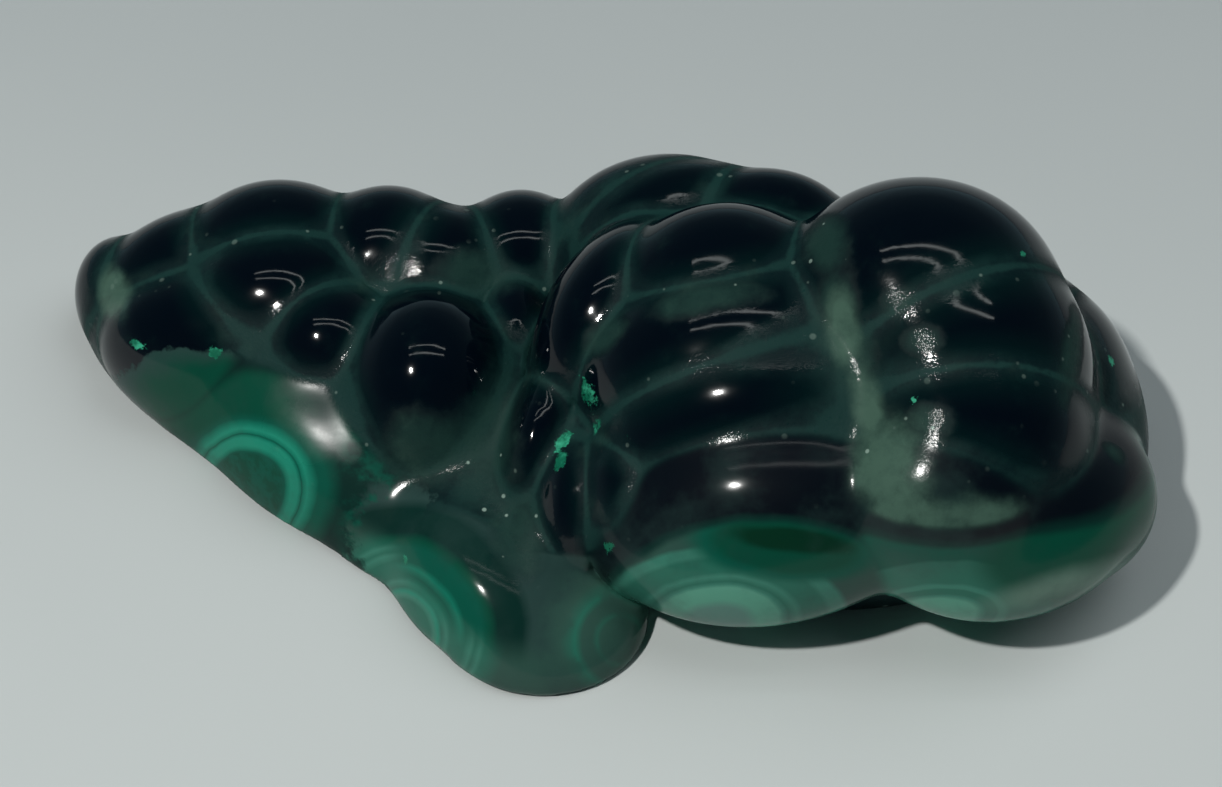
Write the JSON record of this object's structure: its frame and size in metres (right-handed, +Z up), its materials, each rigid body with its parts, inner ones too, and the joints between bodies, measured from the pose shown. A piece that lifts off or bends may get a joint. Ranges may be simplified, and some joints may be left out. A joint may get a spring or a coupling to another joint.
{
  "type": "polished malachite stone",
  "caption": "Free-form ornamental stone of rounded fused lumps, polished to a dark skin with banded green faces low down, lying on a flat base.",
  "frame": {"origin": "middle of the bounding box, on the plane of the flat base", "axes": "+X along the length, towards the high mound; +Y away from the polished front faces; +Z up from the flat base"},
  "size_m": [0.1038, 0.053, 0.0327],
  "materials": {
    "malachite": "high polish over a near-black green skin, with pale and emerald green bands on the worked faces and slightly rough grey-green creases between the lumps"
  },
  "bodies": {
    "root": {"malachite_stone": "malachite"}
  },
  "joints": []
}
